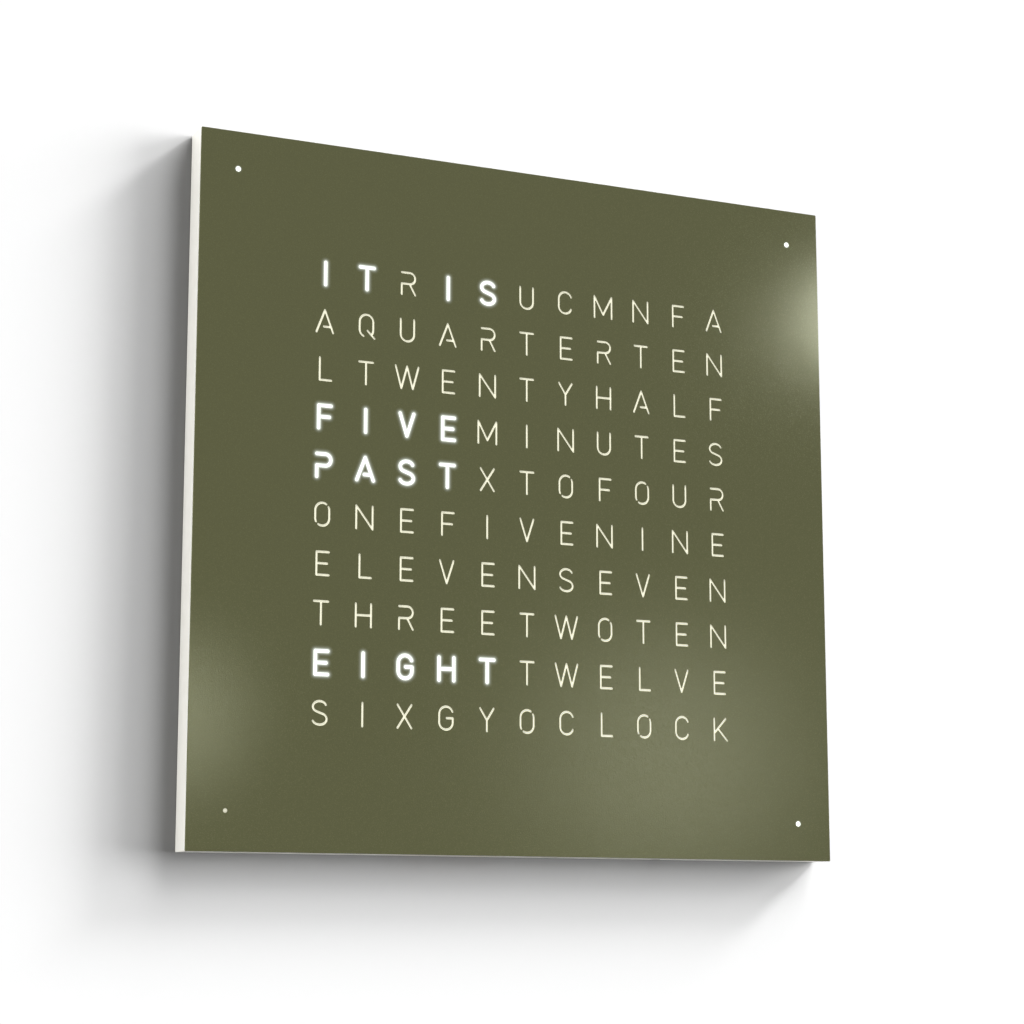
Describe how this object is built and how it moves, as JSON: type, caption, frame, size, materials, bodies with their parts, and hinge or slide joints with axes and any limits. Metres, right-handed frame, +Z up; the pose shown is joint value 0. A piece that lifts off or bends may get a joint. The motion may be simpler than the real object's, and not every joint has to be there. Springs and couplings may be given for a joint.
{
  "type": "word clock",
  "caption": "Square wall clock that spells the time in lit letters, with a lift-off sheet metal cover, a letter light grid and LED board in a slim casing, and keyhole plates.",
  "frame": {"origin": "centre of the casing's back face, where the clock lies against the wall", "axes": "+X to the right and +Z up as seen from the front, +Y into the wall, so the cover faces -Y"},
  "size_m": [0.45, 0.0205, 0.45],
  "materials": {
    "white_lacquer": "white lacquer on medium-density fibreboard, satin",
    "cover_coat": "fine matt powder coat on sheet steel",
    "dot_plugs": "cream translucent acrylic, flush polished",
    "stud_steel": "turned steel, zinc plated",
    "magnet_nickel": "nickel-plated magnets",
    "grid_plastic": "white moulded ABS, matt",
    "film": "opal diffusing film",
    "board_white": "white solder mask on glass-epoxy board",
    "led_package": "white LED packages with yellow phosphor",
    "board_green": "green solder mask on glass-epoxy board",
    "chip_epoxy": "black moulded epoxy",
    "can_metal": "bright drawn metal can",
    "holder_black": "black moulded nylon",
    "cell_steel": "nickel-plated steel cell case",
    "spacer_nylon": "natural nylon",
    "contact_brass": "gold-flashed brass",
    "flat_cable": "grey flat ribbon cable",
    "button_white": "white moulded ABS, satin",
    "plunger_black": "black moulded acetal",
    "rear_sheet": "white powder coat on sheet steel",
    "plate_steel": "stamped steel, zinc plated",
    "pad_felt": "white pressed wool felt"
  },
  "bodies": {
    "casing": {"casing": "white_lacquer", "grid_screws": "stud_steel", "rear_cover_screws": "stud_steel", "hanger_screws": "stud_steel", "cover_magnets": "magnet_nickel", "light_grid": "grid_plastic", "light_cups": "grid_plastic", "diffuser_sheet": "film", "corner_diffusers": "film", "led_board": "board_white", "corner_boards": "board_white", "letter_leds": "led_package", "corner_leds": "led_package", "control_board": "board_green", "controller_chip": "chip_epoxy", "driver_chips": "chip_epoxy", "crystal": "can_metal", "capacitor": "can_metal", "cell_holder": "holder_black", "power_jack": "holder_black", "switch_housings": "holder_black", "led_board_header": "holder_black", "control_header": "holder_black", "coin_cell": "cell_steel", "board_spacers": "spacer_nylon", "jack_pin": "contact_brass", "ribbon_cable": "flat_cable", "corner_leads": "flat_cable", "rear_cover": "rear_sheet", "hanger_plates": "plate_steel", "wall_pads": "pad_felt"},
    "cover": {"front_cover": "cover_coat", "dot_lenses": "dot_plugs", "cover_studs": "stud_steel"},
    "hour_key": {"hour_button": "button_white", "hour_plunger": "plunger_black"},
    "minute_key": {"minute_button": "button_white", "minute_plunger": "plunger_black"},
    "brightness_key": {"brightness_button": "button_white", "brightness_plunger": "plunger_black"},
    "mode_key": {"mode_button": "button_white", "mode_plunger": "plunger_black"}
  },
  "joints": [
    {"name": "cover_lift", "type": "slide", "parent": "casing", "child": "cover", "axis": [0, -1, 0], "range_m": [0, 0.05]},
    {"name": "hour_press", "type": "slide", "parent": "casing", "child": "hour_key", "axis": [0, 0, 1], "range_m": [0, 0.0008], "stiffness_N_per_m": 2000, "springref_m": -0.0002},
    {"name": "minute_press", "type": "slide", "parent": "casing", "child": "minute_key", "axis": [0, 0, 1], "range_m": [0, 0.0008], "stiffness_N_per_m": 2000, "springref_m": -0.0002},
    {"name": "brightness_press", "type": "slide", "parent": "casing", "child": "brightness_key", "axis": [0, 0, 1], "range_m": [0, 0.0008], "stiffness_N_per_m": 2000, "springref_m": -0.0002},
    {"name": "mode_press", "type": "slide", "parent": "casing", "child": "mode_key", "axis": [0, 0, 1], "range_m": [0, 0.0008], "stiffness_N_per_m": 2000, "springref_m": -0.0002}
  ]
}
